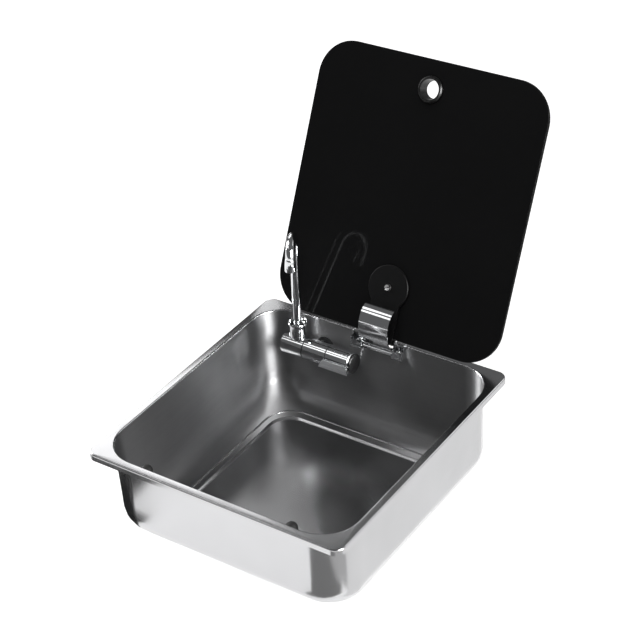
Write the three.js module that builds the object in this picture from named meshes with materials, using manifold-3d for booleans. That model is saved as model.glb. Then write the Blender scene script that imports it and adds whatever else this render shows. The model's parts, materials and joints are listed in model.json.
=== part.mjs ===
// Built-in sink for a motorhome: pressed steel bowl, hinged black glass lid, folding tap.
// Millimetres, +Z up, +X right, +Y to the back. The origin is the middle of the cut-out,
// level with the worktop that the turned-down edge of the rim rests on.
// Shown with the lid open, which is where the lid, the tap and the link stand at rest.
import * as THREE from "three";
import { mergeVertices } from "three/addons/utils/BufferGeometryUtils.js";
import Module from "manifold-3d";

const wasm = await Module();
wasm.setup();

// ---- driving dimensions ----
const gap = 0.3; // left between pieces that touch

// rim and bowl; heights are from the top face of the rim
const sheet = 1;
const rimHalfX = 187.5;
const rimHalfY = 200;
const rimCorner = 14;
const rimBend = 2.5; // outside radius of the turned-down edge
const rimDrop = 9; // height of the turned-down edge
const flangeSide = 9.5; // width of the rim's top face, left and right
const flangeEnd = 10; // the same, front and back
const openHalfX = rimHalfX - flangeSide;
const openHalfY = rimHalfY - flangeEnd;
const openCorner = 50;
const openBend = 2; // radius where the rim turns into the wall
const draftSide = 1; // how far the straight wall leans in, left and right
const draftEnd = 5; // the same, front and back
const wallHalfX = openHalfX - openBend - draftSide; // foot of the straight wall
const wallHalfY = openHalfY - openBend - draftEnd;
const wallCorner = 44;
const footRadiusX = 35.5; // large radius between wall and floor
const footRadiusY = 39;
const footHeight = 37;
const footCorner = 39;
const floorDepth = 132.5;
const panelBorderX = 13.5; // flat border between the foot radius and the panel
const panelBorderY = 16;
const panelHalfX = wallHalfX - footRadiusX - panelBorderX;
const panelHalfY = wallHalfY - footRadiusY - panelBorderY;
const panelCorner = 28;
const panelStep = 2.5; // the panel lies this much below its border
const panelSlope = 4.5; // width of the sloping step
const wallLean = Math.atan(
  (openHalfY - openBend - wallHalfY) / (floorDepth - footHeight - openBend)
);

// seal under the rim
const sealWidth = 6;
const sealHeight = rimDrop - sheet - gap;
const sealChamfer = 1.5;

// drain, hidden behind the front of the rim
const drainRecess = 30;
const drainBorder = 4; // from the sunk seat to the panel's front edge
const drainY = drainRecess + drainBorder - panelHalfY;
const drainRecessDepth = 2.5;
const drainHole = 23.5;
const strainerRim = 28;
const strainerCup = 22.5;
const strainerDepth = 9;
const strainerSheet = 1.2;
const slotRadius = 2.6;
const slotCircle = 12.5;
const slotCount = 8;
const wasteWall = 2.5;
const wasteCup = 22;
const wasteDepth = 16;
const tailRadius = 14;
const tailLength = 22;
const wasteScrewRadius = 2.5;

// rubber stops that carry the front of the closed lid
const stopFromSide = 63.7; // from the side of the glass
const stopRadius = 8;
const stopStem = 3;

// lid, drawn closed around the axis of its pin and then turned open
const lidOpen = THREE.MathUtils.degToRad(116);
const pinFromEdge = 3.6; // from the back edge of the opening
const pinY = openHalfY - pinFromEdge;
const pinDepth = -0.2; // the pin lies just above the rim
const pinRadius = 1.5;
const pinPlay = 0.2;
const pinHead = 0.5; // how far the pin's ends stand out
const glassBehindPin = 4.66; // from the pin to the back edge of the glass
const glassSideGap = 6.8; // from the side of the opening
const glassFrontGap = 2.74; // from the front of the opening
const glassHalfX = openHalfX - glassSideGap;
const glassLength = pinY - glassBehindPin + openHalfY - glassFrontGap;
const glassCorner = 50;
const glassThick = 6;
const glassUnder = 2.72; // the lower face lies this far below the pin
const glassEdge = 0.9;
const fingerFromFront = 38.4;
const fingerY = glassLength - fingerFromFront; // from the back edge of the glass
const fingerFront = 13.5;
const fingerBack = 11.5;
const fingerRim = 17.5;
const fingerProud = 4.6; // height of the ring's rims above the glass
const clampY = 66; // from the back edge of the glass
const clampRadius = 30;
const clampPlate = 3;
const clampWasher = 1;
const clampScrew = 2.2;
const clampHead = 4.9;
const clampHeadHeight = 2.4;
const armHalfX = 21.5;
const knuckleRadius = 4;

// hinge bracket on the back wall, open in the middle where the link folds through it
const bracketPlate = 1.5;
const bracketHalfX = 40.5;
const bracketFoot = 17.5; // below the rim
const bracketSideTop = 4;
const bracketMiddleTop = 11.2;
const bracketUnderLid = 0.7; // its front stays this far below the closed lid
const bracketShoulder = pinDepth + glassUnder + bracketUnderLid;
const bracketStand = 10.6; // its front face stands this far in front of the lid's pin
const bracketFront = pinY - bracketStand;
const cheekEye = 4.2; // radius of the hook that a cheek curls round the lid's pin
const cheekRound = 3;
const lugInside = 22.9;
const lugThick = 1.9;
const notchHalfX = 25.6;
const notchDepth = 10.5;
const notchBehindPin = 7.1;
const notchBeforePin = 8.4;
const bracketScrewX = 32.5;
const bracketScrewDepth = 13.2;
const bracketScrewRadius = 2;
const linkPinForward = 5.1; // in front of the lid's pin
const linkPinY = pinY - linkPinForward;
const linkPinDepth = 14.5;
const linkPinRadius = 1.5;

// curved link in front of the hinge: half an ellipse in side view
const linkHalfX = 22.4;
const linkCentreBack = 5.6; // behind the lid's pin
const linkCentreY = pinY + linkCentreBack;
const linkCentreZ = 17;
const linkReach = 22.5;
const linkHeight = 31.3;
const linkThick = 1.6;
const linkFrom = THREE.MathUtils.degToRad(94);
const linkTo = THREE.MathUtils.degToRad(239);
const linkEye = 3.2; // radius of the eye round the link's pin

// tap, lying along X in front of the back wall
const tapFromEdge = 22.2; // from the back edge of the opening
const tapY = openHalfY - tapFromEdge;
const tapDepth = 40; // axis below the rim
const tapRadius = 15.5;
const tapEnds = 1.2; // chamfer at the free ends
const tapFromSide = 36.2; // from the left edge of the opening
const baseLength = 34.8; // the part that folds with the spout
const foldSeam = 1.4;
const bodyLength = 35.2;
const knobSeam = 1.8;
const knobLength = 36;
const baseLeft = tapFromSide - openHalfX;
const baseRight = baseLeft + baseLength;
const bodyLeft = baseRight + foldSeam;
const bodyRight = bodyLeft + bodyLength;
const knobLeft = bodyRight + knobSeam;
const knobRight = knobLeft + knobLength;
const knobCapThick = 3;
const spigotRadius = 8.2;
const spigotPlay = 0.35;
const foldSpigot = 20;
const knobSpigot = 16;
const grooveAngles = [166, 178];
const lipFrom = 184; // the knob's finger lip, in degrees round the barrel
const lipTo = 238;
const lipReach = 10.4; // how far the lip reaches over the fixed body
const lipLeft = knobLeft - lipReach;
const lipThick = 1.7;
const grooveWidth = 1.3;
const grooveDepth = 0.8;
const bossRadius = 12;
const shankRadius = 9.8;
const shankLength = 13; // outside the wall
const hoseTailRadius = 7.5;
const hoseTailLength = 16;
const hoseTailBore = 5;
const shankNutFlat = 30;
const shankNutHeight = 8;

// spout
const spoutFromEnd = 20.8; // from the left end of the barrel
const spoutX = baseLeft + spoutFromEnd;
const collarTop = 1.5; // below the rim
const collarRim = 12.6;
const collarWaist = 9.6;
const collarFoot = 7.6;
const collarCup = 6; // depth of the open cup at its top
const pipeRadius = 6.2;
const pipeWall = 1;
const pipeFoot = 18.6; // below the rim
const pipeFootRadius = 7.2;
const pipeFlange = 2.4;
const pipeSides = 20;
const archSteps = 14;
const archRadius = 21;
const archHeight = 116.5; // where the arch starts, above the rim
const spoutLean = THREE.MathUtils.degToRad(2.6); // the raised spout leans back against its stop
const pipeDrop = 8;
const nozzleDrop = 1; // its upper end lies this far below the start of the arch
const nozzleLength = 14;
const nozzleTop = archHeight - nozzleDrop;
const nozzleEnd = nozzleTop - nozzleLength;
const nozzleRadius = 7;
const nozzleLip = 7.7;
const nozzleLipHeight = 4.5;
const spoutTurn = THREE.MathUtils.degToRad(27); // from straight ahead towards +X

// ---- materials ----
function steelSheet() {
  return new THREE.MeshStandardMaterial({ color: 0xc4c5c6, roughness: 0.22, metalness: 1 });
}

function plainSteel() {
  return new THREE.MeshStandardMaterial({ color: 0xb4b6b8, roughness: 0.35, metalness: 1 });
}

function chromePlate() {
  return new THREE.MeshStandardMaterial({ color: 0xd2d4d6, roughness: 0.07, metalness: 1 });
}

function blackGlass() {
  return new THREE.MeshStandardMaterial({ color: 0x0e0e0f, roughness: 0.05, metalness: 0 });
}

function blackCoat() {
  return new THREE.MeshStandardMaterial({ color: 0x131314, roughness: 0.35, metalness: 0.2 });
}

function blackPlastic() {
  return new THREE.MeshStandardMaterial({ color: 0x151515, roughness: 0.45, metalness: 0 });
}

function blackRubber() {
  return new THREE.MeshStandardMaterial({ color: 0x121212, roughness: 0.75, metalness: 0 });
}

// ---- helpers ----
function solidOf(geometry) {
  const bare = geometry.index ? geometry.toNonIndexed() : geometry.clone();
  bare.deleteAttribute("normal");
  bare.deleteAttribute("uv");
  const merged = mergeVertices(bare, 1e-4);
  return new wasm.Manifold(
    new wasm.Mesh({
      numProp: 3,
      vertProperties: merged.attributes.position.array,
      triVerts: new Uint32Array(merged.index.array),
    })
  );
}

function geometryOf(solid) {
  const mesh = solid.getMesh();
  const geometry = new THREE.BufferGeometry();
  geometry.setAttribute("position", new THREE.Float32BufferAttribute(mesh.vertProperties, 3));
  geometry.setIndex(Array.from(mesh.triVerts));
  geometry.computeVertexNormals();
  return geometry;
}

function cut(body, ...tools) {
  return geometryOf(tools.reduce((left, tool) => left.subtract(solidOf(tool)), solidOf(body)));
}

function join(first, ...others) {
  return geometryOf(others.reduce((all, one) => all.add(solidOf(one)), solidOf(first)));
}

function piece(name, geometry, material) {
  const mesh = new THREE.Mesh(geometry, material);
  mesh.name = name;
  return mesh;
}

function groupAt(x, y, z, ...children) {
  const group = new THREE.Group();
  group.position.set(x, y, z);
  group.add(...children);
  return group;
}

// Outline of a rectangle with rounded corners.
function roundedOutline(halfX, halfY, corner, centreY = 0) {
  const shape = new THREE.Shape();
  const x = halfX - corner;
  const y = halfY - corner;
  shape.absarc(x, centreY + y, corner, 0, Math.PI / 2);
  shape.absarc(-x, centreY + y, corner, Math.PI / 2, Math.PI);
  shape.absarc(-x, centreY - y, corner, Math.PI, 1.5 * Math.PI);
  shape.absarc(x, centreY - y, corner, 1.5 * Math.PI, 2 * Math.PI);
  shape.closePath();
  return shape;
}

function circleOutline(x, y, radius) {
  const shape = new THREE.Shape();
  shape.absarc(x, y, radius, 0, 2 * Math.PI);
  return shape;
}

// A slab of the outline, from z = low to z = high.
function slab(outline, low, high, arcSteps = 10) {
  const options = { depth: high - low, bevelEnabled: false, curveSegments: arcSteps };
  return new THREE.ExtrudeGeometry(outline, options).translate(0, 0, low);
}

// A side view (y, z) given the width from x = low to x = high.
function sideSlab(outline, low, high, arcSteps = 10) {
  const side = new THREE.Matrix4().makeBasis(
    new THREE.Vector3(0, 1, 0),
    new THREE.Vector3(0, 0, 1),
    new THREE.Vector3(1, 0, 0)
  );
  return slab(outline, low, high, arcSteps).applyMatrix4(side);
}

// Pairs of radius and height, turned about Z.
function turned(pairs, around = 24) {
  const profile = pairs.map(([radius, height]) => new THREE.Vector2(radius, height));
  return new THREE.LatheGeometry(profile, around).rotateX(Math.PI / 2);
}

// The same about X, with the heights as x.
function turnedAlongX(pairs, around = 24) {
  return turned(pairs, around).rotateY(Math.PI / 2);
}

// The same with the heights along +Y.
function turnedAlongY(pairs, around = 24) {
  return turned(pairs, around).rotateX(-Math.PI / 2);
}

function rod(radius, low, high, around = 24) {
  const pairs = [
    [0, low],
    [radius, low],
    [radius, high],
    [0, high],
  ];
  return turned(pairs, around);
}

function washer(inside, outside, low, high, around = 24) {
  const pairs = [
    [inside, low],
    [outside, low],
    [outside, high],
    [inside, high],
    [inside, low],
  ];
  return turned(pairs, around);
}

function hexNut(acrossFlats, bore, low, high) {
  const outline = new THREE.Shape();
  const corner = acrossFlats / Math.sqrt(3);
  for (let k = 0; k < 6; k += 1) {
    const angle = (k * Math.PI) / 3;
    const action = k === 0 ? "moveTo" : "lineTo";
    outline[action](corner * Math.cos(angle), corner * Math.sin(angle));
  }
  outline.closePath();
  outline.holes.push(circleOutline(0, 0, bore));
  return slab(outline, low, high, 12);
}

function boxFrom(lowX, lowY, lowZ, highX, highY, highZ) {
  const box = new THREE.BoxGeometry(highX - lowX, highY - lowY, highZ - lowZ);
  return box.translate((lowX + highX) / 2, (lowY + highY) / 2, (lowZ + highZ) / 2);
}

// ---- bowl ----
const cornerSteps = 8;
const sideSteps = 2;

// One closed loop of points round a rounded rectangle at height z.
function ring(halfX, halfY, corner, z) {
  const centres = [
    [halfX - corner, halfY - corner],
    [corner - halfX, halfY - corner],
    [corner - halfX, corner - halfY],
    [halfX - corner, corner - halfY],
  ];
  const arcs = centres.map(([x, y], quarter) => {
    const arc = [];
    for (let k = 0; k <= cornerSteps; k += 1) {
      const angle = ((quarter + k / cornerSteps) * Math.PI) / 2;
      const reach = new THREE.Vector3(corner * Math.cos(angle), corner * Math.sin(angle), 0);
      arc.push(reach.add(new THREE.Vector3(x, y, z)));
    }
    return arc;
  });
  const loop = [];
  arcs.forEach((arc, quarter) => {
    const next = arcs[(quarter + 1) % 4][0];
    loop.push(...arc);
    for (let k = 1; k < sideSteps; k += 1) {
      loop.push(arc[cornerSteps].clone().lerp(next, k / sideSteps));
    }
  });
  return loop;
}

// A skin through the loops; the ends are joined to each other, or closed flat if capped.
function loftedSkin(loops, capped = false) {
  const count = loops[0].length;
  const index = [];
  const last = loops.length - 1;
  loops.forEach((loop, i) => {
    if (capped && i === last) {
      return;
    }
    const below = i * count;
    const above = ((i + 1) % loops.length) * count;
    for (let j = 0; j < count; j += 1) {
      const next = (j + 1) % count;
      index.push(below + j, above + j, above + next);
      index.push(below + j, above + next, below + next);
    }
  });
  if (capped) {
    for (let j = 2; j < count; j += 1) {
      index.push(0, j - 1, j);
      index.push(last * count, last * count + j, last * count + j - 1);
    }
  }
  const geometry = new THREE.BufferGeometry().setFromPoints(loops.flat());
  geometry.setIndex(index);
  return geometry;
}

// The two faces of the wall, from floor to rim: side 0 is the inside, side 1 the outside.
function wallLoops(side) {
  const out = side * sheet;
  const loops = [];
  const steps = 6;
  for (let k = 0; k <= steps; k += 1) {
    const turn = ((k / steps) * Math.PI) / 2;
    const run = Math.sin(turn);
    const halfX = wallHalfX - footRadiusX + (footRadiusX + out) * run;
    const halfY = wallHalfY - footRadiusY + (footRadiusY + out) * run;
    const corner = footCorner + (wallCorner - footCorner + out) * run;
    loops.push(ring(halfX, halfY, corner, footHeight - floorDepth - (footHeight + out) * Math.cos(turn)));
  }
  const wallSteps = 4;
  for (let k = 1; k < wallSteps; k += 1) {
    const rise = k / wallSteps;
    const halfX = wallHalfX + (openHalfX - openBend - wallHalfX) * rise + out;
    const halfY = wallHalfY + (openHalfY - openBend - wallHalfY) * rise + out;
    const corner = openCorner - openBend + (wallCorner - openCorner + openBend) * (1 - rise) ** 2 + out;
    const z = footHeight - floorDepth + (floorDepth - footHeight - openBend) * rise;
    loops.push(ring(halfX, halfY, corner, z));
  }
  const bendSteps = 3;
  for (let k = 0; k <= bendSteps; k += 1) {
    const turn = ((k / bendSteps) * Math.PI) / 2;
    const radius = openBend - out;
    const back = radius * Math.cos(turn);
    const z = radius * Math.sin(turn) - openBend;
    loops.push(ring(openHalfX - back, openHalfY - back, openCorner - back, z));
  }
  return loops;
}

// The two faces of the turned-down edge, from the top inwards side to its lower end.
function edgeLoops(side) {
  const radius = rimBend - side * sheet;
  const loops = [];
  const steps = 3;
  for (let k = 0; k <= steps; k += 1) {
    const turn = ((k / steps) * Math.PI) / 2;
    const back = rimBend - radius * Math.sin(turn);
    const z = radius * Math.cos(turn) - rimBend;
    loops.push(ring(rimHalfX - back, rimHalfY - back, rimCorner - back, z));
  }
  const inset = side * sheet;
  loops.push(ring(rimHalfX - inset, rimHalfY - inset, rimCorner - inset, -rimDrop));
  return loops;
}

function panelZ() {
  return -floorDepth - panelStep;
}

// The two faces of the floor: the sunk panel and the sloping step around it.
function floorLoops(side) {
  const z = panelZ() - side * sheet;
  const rises = [0, 0.15, 0.85, 1];
  return rises.map((rise, k) => {
    const grow = (k / (rises.length - 1)) * panelSlope;
    return ring(panelHalfX + grow, panelHalfY + grow, panelCorner + grow, z + rise * panelStep);
  });
}

// Sunk seat for the strainer, with a flat border that runs into the panel.
function drainSeat() {
  const floor = panelZ() - drainRecessDepth;
  const seat = turned([
    [drainHole, floor],
    [drainRecess - 2, floor],
    [drainRecess, panelZ()],
    [drainRecess + 3, panelZ()],
    [drainRecess + 3, panelZ() - sheet],
    [drainRecess + 1, panelZ() - sheet],
    [drainRecess - 1, floor - sheet],
    [drainHole, floor - sheet],
    [drainHole, floor],
  ].reverse(), 48);
  return seat.translate(0, drainY, 0);
}

function pressedBowl() {
  const inside = [...floorLoops(0), ...wallLoops(0), ...edgeLoops(0)];
  const outside = [...floorLoops(1), ...wallLoops(1), ...edgeLoops(1)];
  return loftedSkin([...inside, ...outside.reverse()], true);
}

// Middle of the back wall's inside face at the given depth below the rim.
function backWallY(depth) {
  return openHalfY - openBend - (depth - openBend) * Math.tan(wallLean);
}

// Turns a piece drawn along +Y so that it is square to the back wall, at a point of it.
function squareToBackWall(geometry, x, depth) {
  return geometry.rotateX(-wallLean).translate(x, backWallY(depth), -depth);
}

function squareToFrontWall(geometry, x, depth) {
  return squareToBackWall(geometry, x, depth).rotateZ(Math.PI);
}

function wallHole(radius) {
  return turnedAlongY([
    [0, -4],
    [radius, -4],
    [radius, 5],
    [0, 5],
  ], 20);
}

function sinkBowl() {
  const drainCut = rod(drainRecess + 1.5, panelZ() - 4, panelZ() + 4, 48).translate(0, drainY, 0);
  const pressed = join(cut(pressedBowl(), drainCut), drainSeat());
  const holes = [
    boxFrom(-notchHalfX, pinY - notchBeforePin, -notchDepth, notchHalfX, pinY + notchBehindPin, 2),
    squareToBackWall(wallHole(shankRadius + 0.5), tapMiddle(), shankDepth()),
    squareToBackWall(wallHole(bracketScrewRadius + gap), -bracketScrewX, bracketScrewDepth),
    squareToBackWall(wallHole(bracketScrewRadius + gap), bracketScrewX, bracketScrewDepth),
    squareToFrontWall(wallHole(stopStem + gap), -stopX(), stopDepth()),
    squareToFrontWall(wallHole(stopStem + gap), stopX(), stopDepth()),
  ];
  return piece("sink_bowl", cut(pressed, ...holes), steelSheet());
}

function rimSeal() {
  const inset = sheet + gap;
  const top = -sheet - gap;
  const low = top - sealHeight;
  const line = (back, z) => ring(rimHalfX - back, rimHalfY - back, rimCorner - back, z);
  const loops = [
    line(inset + sealWidth, low),
    line(inset + sealWidth, top),
    line(inset + sealChamfer, top),
    line(inset, top - sealChamfer),
    line(inset, low),
  ];
  return piece("rim_seal", loftedSkin(loops), blackRubber());
}

// ---- lid stops ----
function stopX() {
  return glassHalfX - stopFromSide;
}

function stopDepth() {
  return stopRadius + pinDepth + glassUnder + gap + (stopRadius - 0.5) * Math.sin(wallLean);
}

function lidStop(name, x) {
  const reach = 2 * stopRadius - 1;
  const pairs = [[0, -reach]];
  for (let k = 1; k <= 7; k += 1) {
    const turn = (k * Math.PI) / 9;
    pairs.push([stopRadius * Math.sin(turn), stopRadius - reach - stopRadius * Math.cos(turn)]);
  }
  pairs.push([5.4, -gap], [stopStem, -gap], [stopStem, sheet + gap]);
  pairs.push([5.2, sheet + gap], [4.4, sheet + gap + 2], [0, sheet + gap + 2]);
  const geometry = squareToFrontWall(turnedAlongY(pairs, 20), x, stopDepth());
  return piece(name, geometry, blackRubber());
}

// ---- drain ----
function drainFloor() {
  return panelZ() - drainRecessDepth;
}

function strainer() {
  const top = drainFloor() + gap + strainerSheet;
  const cup = top - strainerDepth;
  const dish = turned([
    [wasteScrewRadius + gap, cup],
    [wasteScrewRadius + gap, cup - strainerSheet],
    [strainerCup - 3, cup - strainerSheet],
    [strainerCup, top - strainerSheet],
    [strainerRim, top - strainerSheet],
    [strainerRim, top],
    [strainerCup - strainerSheet, top],
    [strainerCup - 4, cup],
    [wasteScrewRadius + gap, cup],
  ], 32);
  const slots = [];
  for (let k = 0; k < slotCount; k += 1) {
    const angle = (2 * Math.PI * k) / slotCount;
    const slot = rod(slotRadius, cup - 3, cup + 3, 12);
    slots.push(slot.translate(slotCircle * Math.cos(angle), slotCircle * Math.sin(angle), 0));
  }
  return piece("drain_strainer", cut(dish, ...slots), plainSteel());
}

function drainGasket() {
  const top = drainFloor() - sheet - gap;
  return piece("drain_gasket", washer(drainHole + 0.3, strainerRim, top - 2, top), blackRubber());
}

function wasteBody() {
  const top = drainFloor() - sheet - 2 - 2 * gap;
  const cupFloor = top - wasteDepth;
  const end = cupFloor - tailLength;
  const outer = wasteCup + wasteWall;
  const bore = tailRadius - wasteWall;
  const shell = turned([
    [outer, top - 3],
    [strainerRim, top - 3],
    [strainerRim, top],
    [wasteCup + 1, top],
    [wasteCup, cupFloor + 5],
    [bore, cupFloor],
    [bore, end],
    [tailRadius - 0.8, end],
    [tailRadius, end + 2],
    [tailRadius, cupFloor - 2],
    [outer, cupFloor + 3.5],
    [outer, top - 3],
  ], 32);
  const bridge = boxFrom(-wasteCup, -2, cupFloor + 1, wasteCup, 2, cupFloor + 6);
  const boss = rod(5.5, cupFloor + 1, cupFloor + 6, 20);
  const screwHole = rod(wasteScrewRadius + gap, cupFloor, cupFloor + 8, 16);
  return piece("drain_waste", cut(join(shell, bridge, boss), screwHole), blackPlastic());
}

function wasteScrew() {
  const seat = drainFloor() + gap + strainerSheet - strainerDepth + gap;
  const end = drainFloor() - sheet - 2 - 2 * gap - wasteDepth + 0.5;
  const screw = turned([
    [0, end],
    [wasteScrewRadius, end],
    [wasteScrewRadius, seat],
    [5, seat],
    [4.4, seat + 2.2],
    [0, seat + 2.6],
  ], 18);
  const slot = boxFrom(-6, -0.6, seat + 1.4, 6, 0.6, seat + 4);
  return piece("drain_screw", cut(screw, slot), plainSteel());
}

function drain() {
  return groupAt(0, drainY, 0, strainer(), drainGasket(), wasteBody(), wasteScrew());
}

// ---- lid, closed, with the pin's axis as its origin ----
function lidGlass() {
  const outline = roundedOutline(
    glassHalfX - glassEdge,
    glassLength / 2 - glassEdge,
    glassCorner - glassEdge,
    -glassBehindPin - glassLength / 2
  );
  outline.holes.push(circleOutline(0, -glassBehindPin - fingerY, fingerFront + 2 + glassEdge));
  outline.holes.push(circleOutline(0, -glassBehindPin - clampY, clampScrew + 2 + glassEdge));
  const options = {
    depth: glassThick - 2 * glassEdge,
    bevelThickness: glassEdge,
    bevelSize: glassEdge,
    bevelSegments: 2,
    curveSegments: 10,
  };
  const geometry = new THREE.ExtrudeGeometry(outline, options);
  return piece("lid_glass", geometry.translate(0, 0, glassEdge - glassUnder), blackGlass());
}

function fingerRing() {
  const low = -glassUnder - fingerProud;
  const high = glassThick - glassUnder + fingerProud;
  const sleeve = fingerFront + 1.6;
  const underSide = -glassUnder - gap;
  const outSide = glassThick - glassUnder + gap;
  const pairs = [
    [fingerFront, low],
    [fingerRim - 1.6, low],
    [fingerRim, low + 1.6],
    [fingerRim, underSide],
    [sleeve, underSide],
    [sleeve, outSide],
    [fingerRim, outSide],
    [fingerRim, high - 1.6],
    [fingerRim - 1.6, high],
    [fingerBack, high],
    [fingerFront, low],
  ];
  const geometry = turned(pairs, 32).translate(0, -glassBehindPin - fingerY, 0);
  return piece("finger_ring", geometry, blackPlastic());
}

function clampZ(layer) {
  // underside of the glass, then the washer, the plate and the screw's head
  const faces = [0, gap, gap + clampWasher, 2 * gap + clampWasher, 2 * gap + clampWasher + clampPlate];
  return -glassUnder - faces[layer];
}

function lidArm() {
  const top = clampZ(3);
  const low = clampZ(4);
  const centreY = -glassBehindPin - clampY;
  const disc = turned([
    [clampScrew + gap, low],
    [clampRadius - 0.8, low],
    [clampRadius, low + 0.8],
    [clampRadius, top],
    [clampScrew + gap, top],
    [clampScrew + gap, low],
  ], 36).translate(0, centreY, 0);
  const outline = new THREE.Shape();
  outline.moveTo(centreY + 15, top);
  outline.lineTo(-knuckleRadius, top);
  outline.absarc(0, 0, knuckleRadius, Math.PI, 0, true);
  outline.lineTo(knuckleRadius, -2);
  outline.lineTo(0.5, low);
  outline.lineTo(centreY + 15, low);
  outline.closePath();
  outline.holes.push(circleOutline(0, 0, pinRadius + pinPlay));
  const strap = sideSlab(outline, -armHalfX, armHalfX, 10);
  return piece("lid_arm", join(disc, strap), blackCoat());
}

function clampWashers() {
  const centreY = -glassBehindPin - clampY;
  const hole = clampScrew + gap;
  const under = washer(hole, clampRadius - 2, clampZ(2), clampZ(1), 32);
  const face = glassThick - glassUnder + gap;
  const over = washer(hole, clampRadius - 2, face, face + clampWasher, 32);
  return [
    piece("clamp_washer_inner", under.translate(0, centreY, 0), blackRubber()),
    piece("clamp_washer_outer", over.translate(0, centreY, 0), blackRubber()),
  ];
}

function outerDisc() {
  const low = glassThick - glassUnder + 2 * gap + clampWasher;
  const high = low + 4;
  const disc = turned([
    [clampScrew + gap, low],
    [clampRadius, low],
    [clampRadius, high - 1],
    [clampRadius - 1, high],
    [0, high],
    [0, high - 1.2],
    [clampScrew + gap, high - 1.2],
    [clampScrew + gap, low],
  ], 36);
  return piece("clamp_disc_outer", disc.translate(0, -glassBehindPin - clampY, 0), blackCoat());
}

function lidScrew() {
  const head = clampZ(4) - gap;
  const end = glassThick - glassUnder + 2 * gap + clampWasher + 2.4;
  const screw = turned([
    [0, head - clampHeadHeight],
    [clampHead - 1, head - clampHeadHeight],
    [clampHead, head - 1.2],
    [clampHead, head],
    [clampScrew, head],
    [clampScrew, end],
    [0, end],
  ], 24);
  const slot = boxFrom(-8, -0.65, head - clampHeadHeight - 1, 8, 0.65, head - clampHeadHeight + 1.2);
  const slotTurned = slot.rotateZ(THREE.MathUtils.degToRad(-28));
  const geometry = cut(screw, slotTurned).translate(0, -glassBehindPin - clampY, 0);
  return piece("lid_screw", geometry, plainSteel());
}

function lid() {
  const parts = [lidGlass(), fingerRing(), lidArm(), ...clampWashers(), outerDisc(), lidScrew()];
  const group = groupAt(0, pinY, -pinDepth, ...parts);
  group.rotation.x = -lidOpen;
  return group;
}

// ---- hinge ----
// Side view of a plate that lies against the back wall.
function wallPlate(top, foot) {
  const outline = new THREE.Shape();
  const front = gap + bracketPlate;
  outline.moveTo(backWallY(top) - front, -top);
  outline.lineTo(backWallY(foot) - front, -foot);
  outline.lineTo(backWallY(foot) - gap, -foot);
  outline.lineTo(backWallY(top) - gap, -top);
  outline.closePath();
  return outline;
}

// Side view of the lug that carries the lid's pin above and the link's pin below.
function lugOutline() {
  const outline = new THREE.Shape();
  outline.absarc(pinY, -pinDepth, knuckleRadius, -0.55, Math.PI + 0.6);
  outline.absarc(linkPinY, -linkPinDepth, linkEye + 0.2, Math.PI - 0.1, Math.PI + 0.9);
  outline.lineTo(backWallY(bracketFoot) - gap - 0.5, -bracketFoot);
  outline.lineTo(backWallY(bracketMiddleTop) - gap - 0.5, -bracketMiddleTop);
  outline.closePath();
  return outline;
}

// Side view of a cheek: against the wall, in a hook round the pin, and down the front face.
function cheekOutline() {
  const outline = new THREE.Shape();
  const wallY = backWallY(bracketSideTop) - gap;
  const behindPin = wallY - pinY;
  const hookFrom = Math.acos(behindPin / cheekEye);
  const hookTo = (230 * Math.PI) / 180;
  const front = bracketFront + cheekRound;
  outline.moveTo(backWallY(bracketFoot) - gap, -bracketFoot);
  outline.lineTo(wallY, -bracketSideTop);
  outline.absarc(pinY, -pinDepth, cheekEye, hookFrom, hookTo);
  outline.absarc(front, -bracketShoulder - cheekRound, cheekRound, Math.PI / 2, Math.PI);
  outline.lineTo(bracketFront, -bracketFoot);
  outline.closePath();
  return outline;
}

// Front view of the right-hand flange, scooped out towards the link.
function flangeOutline() {
  const outline = new THREE.Shape();
  const top = -bracketShoulder - cheekRound;
  const scoop = 7;
  outline.moveTo(lugInside, -bracketFoot);
  outline.lineTo(bracketHalfX, -bracketFoot);
  outline.lineTo(bracketHalfX, top);
  outline.lineTo(lugInside + scoop, top);
  outline.quadraticCurveTo(lugInside + 2, top - 1, lugInside, top - scoop);
  outline.closePath();
  return outline;
}

function frontSlab(outline, low, high) {
  return slab(outline, -high, -low, 6).rotateX(Math.PI / 2);
}

function bracketSide() {
  const plate = sideSlab(wallPlate(bracketSideTop, bracketFoot), lugInside, bracketHalfX);
  const cheek = sideSlab(cheekOutline(), bracketHalfX - bracketPlate, bracketHalfX);
  const flange = frontSlab(flangeOutline(), bracketFront, bracketFront + bracketPlate);
  const lug = sideSlab(lugOutline(), lugInside, lugInside + lugThick, 12);
  const pinHole = sideSlab(circleOutline(pinY, -pinDepth, pinRadius + pinPlay), 0, 60, 12);
  const linkHole = sideSlab(circleOutline(linkPinY, -linkPinDepth, linkPinRadius + pinPlay), 0, 30, 12);
  return cut(join(plate, cheek, flange, lug), pinHole, linkHole);
}

function hingeBracket() {
  const right = bracketSide();
  const left = geometryOf(solidOf(right).mirror([1, 0, 0]));
  const middle = sideSlab(wallPlate(bracketMiddleTop, bracketFoot), -lugInside - 1, lugInside + 1);
  const holes = [-bracketScrewX, bracketScrewX].map((x) =>
    squareToBackWall(wallHole(bracketScrewRadius + gap), x, bracketScrewDepth)
  );
  return piece("hinge_bracket", cut(join(right, left, middle), ...holes), chromePlate());
}

function crossPin(name, radius, halfLength, y, depth) {
  const half = halfLength + gap;
  const pairs = [
    [0, -half - 1],
    [radius + pinHead, -half - 1],
    [radius + pinHead, -half],
    [radius, -half],
    [radius, half],
    [radius + pinHead, half],
    [radius + pinHead, half + 1],
    [0, half + 1],
  ];
  return piece(name, turnedAlongX(pairs, 16).translate(0, y, -depth), plainSteel());
}

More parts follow.
